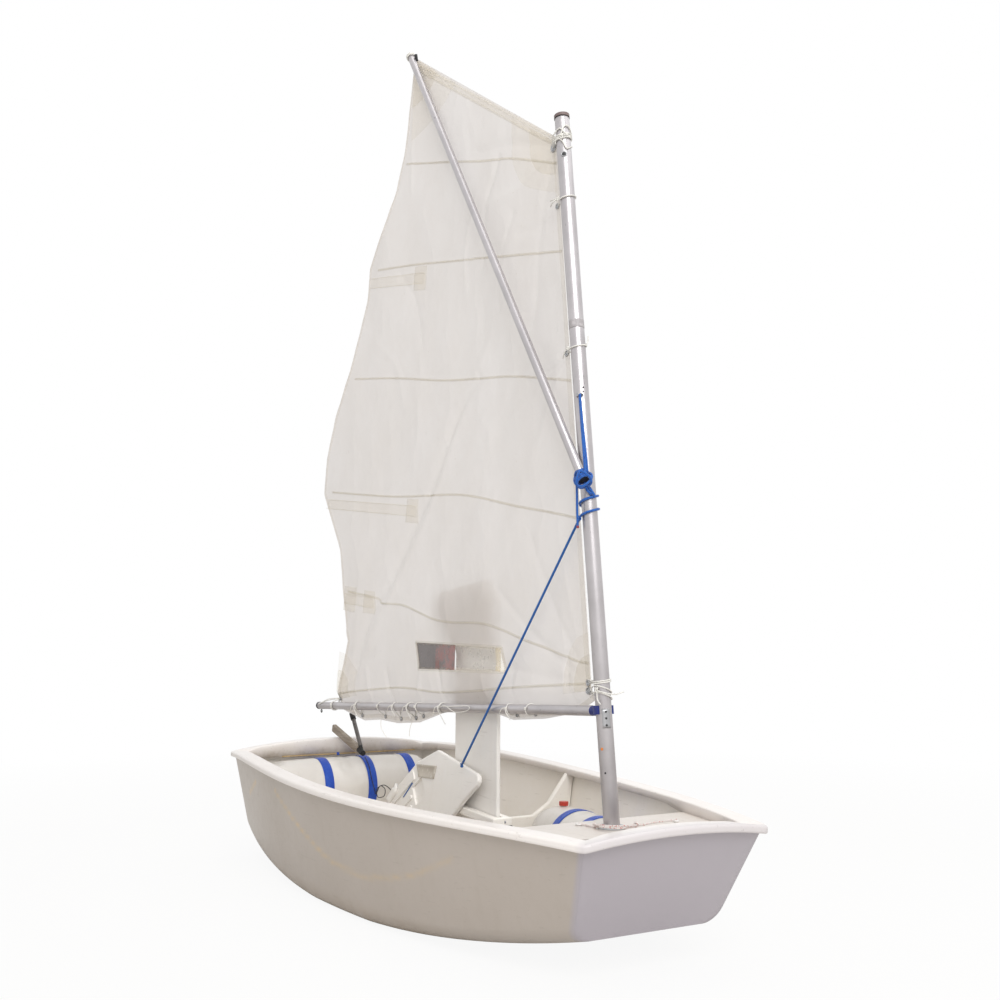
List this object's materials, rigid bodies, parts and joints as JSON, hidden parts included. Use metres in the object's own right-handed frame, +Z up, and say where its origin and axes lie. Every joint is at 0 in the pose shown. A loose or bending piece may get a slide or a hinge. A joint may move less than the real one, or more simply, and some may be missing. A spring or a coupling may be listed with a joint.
{
  "type": "sailing dinghy",
  "caption": "Small square-bowed one-person training dinghy with a sprit-rigged sail, raised daggerboard and strapped-in buoyancy bags.",
  "frame": {"origin": "on the flat bottom's centreline, under the midship frame", "axes": "+X to the bow, +Y to port, +Z up"},
  "size_m": [2.3337, 1.0976, 3.1493],
  "materials": {
    "gelcoat": "satin white gelcoat",
    "rail_gelcoat": "satin white gelcoat",
    "inner_gelcoat": "worn white gelcoat",
    "board_gelcoat": "white gelcoat",
    "anodised": "satin anodised",
    "black_plastic": "satin",
    "navy_plastic": "satin",
    "grey_plastic": "satin",
    "steel": "brushed",
    "sailcloth": "crisp woven polyester",
    "clear_film": "clear film",
    "batten_fibre": "glass fibre",
    "bag_film": "coated cloth",
    "webbing": "woven webbing",
    "red_plastic": "moulded",
    "white_cord": "braided",
    "blue_rope": "braided, red flecks",
    "wood": "varnished"
  },
  "bodies": {
    "hull": {"hull_shell": "gelcoat", "gunwale": "rail_gelcoat", "mast_thwart": "inner_gelcoat", "mast_step": "inner_gelcoat", "midship_frame": "inner_gelcoat", "daggerboard_case": "inner_gelcoat", "rudder": "board_gelcoat", "tiller_extension": "anodised", "tiller_joint": "black_plastic", "extension_grip": "black_plastic", "mast_collar": "grey_plastic", "gudgeon_upper": "steel", "gudgeon_lower": "steel", "stern_bag": "bag_film", "port_bag": "bag_film", "starboard_bag": "bag_film", "stern_bag_strap_1": "webbing", "stern_bag_strap_2": "webbing", "stern_bag_strap_3": "webbing", "port_bag_strap_1": "webbing", "port_bag_strap_2": "webbing", "starboard_bag_strap_1": "webbing", "starboard_bag_strap_2": "webbing", "port_bag_cap": "red_plastic", "starboard_bag_cap": "red_plastic", "tiller": "wood"},
    "rig": {"mast": "anodised", "mast_plug": "black_plastic", "mast_eye": "steel", "boom": "anodised", "boom_end_plug": "black_plastic", "boom_eye": "steel", "boom_jaw": "navy_plastic", "sprit": "anodised", "sprit_foot_fitting": "black_plastic", "sprit_peak_fitting": "black_plastic", "peak_ring": "white_cord", "sail": "sailcloth", "sail_window": "clear_film", "batten_top": "batten_fibre", "batten_middle": "batten_fibre", "batten_bottom": "batten_fibre", "luff_tie_1": "white_cord", "luff_tie_2": "white_cord", "luff_tie_3": "white_cord", "luff_tie_4": "white_cord", "clew_tie": "white_cord", "snotter": "blue_rope"},
    "board": {"daggerboard": "board_gelcoat", "daggerboard_stop": "black_plastic"}
  },
  "joints": [
    {"name": "mast_turn", "type": "hinge", "parent": "hull", "child": "rig", "pos_m": [0.9507, 0, 0.0992], "axis": [-0.0882, 0, 0.9961], "range_deg": [0, 85]},
    {"name": "board_slide", "type": "slide", "parent": "hull", "child": "board", "axis": [0, -0.0174, -0.9998], "range_m": [0, 0.5]}
  ]
}
